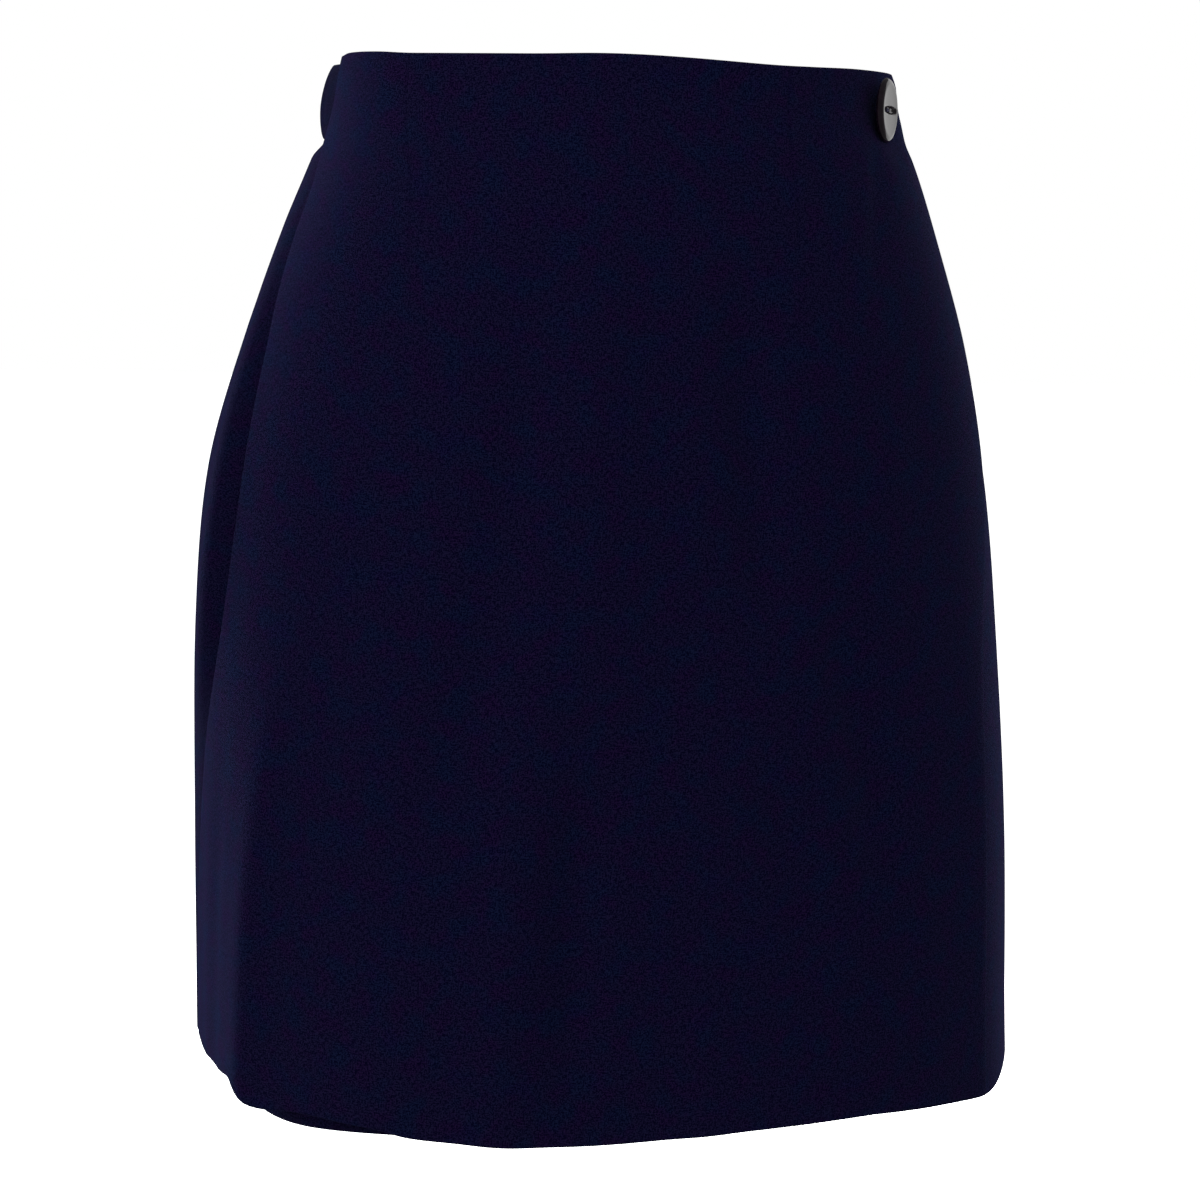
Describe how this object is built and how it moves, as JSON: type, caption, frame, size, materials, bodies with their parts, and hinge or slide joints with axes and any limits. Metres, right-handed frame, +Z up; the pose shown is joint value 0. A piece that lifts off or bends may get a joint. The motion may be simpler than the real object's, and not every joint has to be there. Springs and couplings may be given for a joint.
{
  "type": "wrap-front skort",
  "caption": "Hollow worn skort: wide shorts under a wrap-front panel, side button, waist darts, gathered elastic waistband across the back, straight hem.",
  "frame": {"origin": "middle of the waist opening, halfway up the waistband", "axes": "+Z up through the waist, the wearer faces -Y, the wearer's left is +X"},
  "size_m": [0.375, 0.2682, 0.4462],
  "materials": {
    "panel_suiting": "matt fine plain-weave suiting",
    "shorts_suiting": "matt fine plain-weave suiting",
    "waistband_suiting": "matt fine plain-weave suiting, gathered over elastic",
    "button_resin": "polished"
  },
  "bodies": {
    "root": {"front_wrap_panel": "panel_suiting", "shorts_front_right": "shorts_suiting", "shorts_front_left": "shorts_suiting", "shorts_back_right": "shorts_suiting", "shorts_back_left": "shorts_suiting", "back_waistband": "waistband_suiting", "button": "button_resin"}
  },
  "joints": []
}
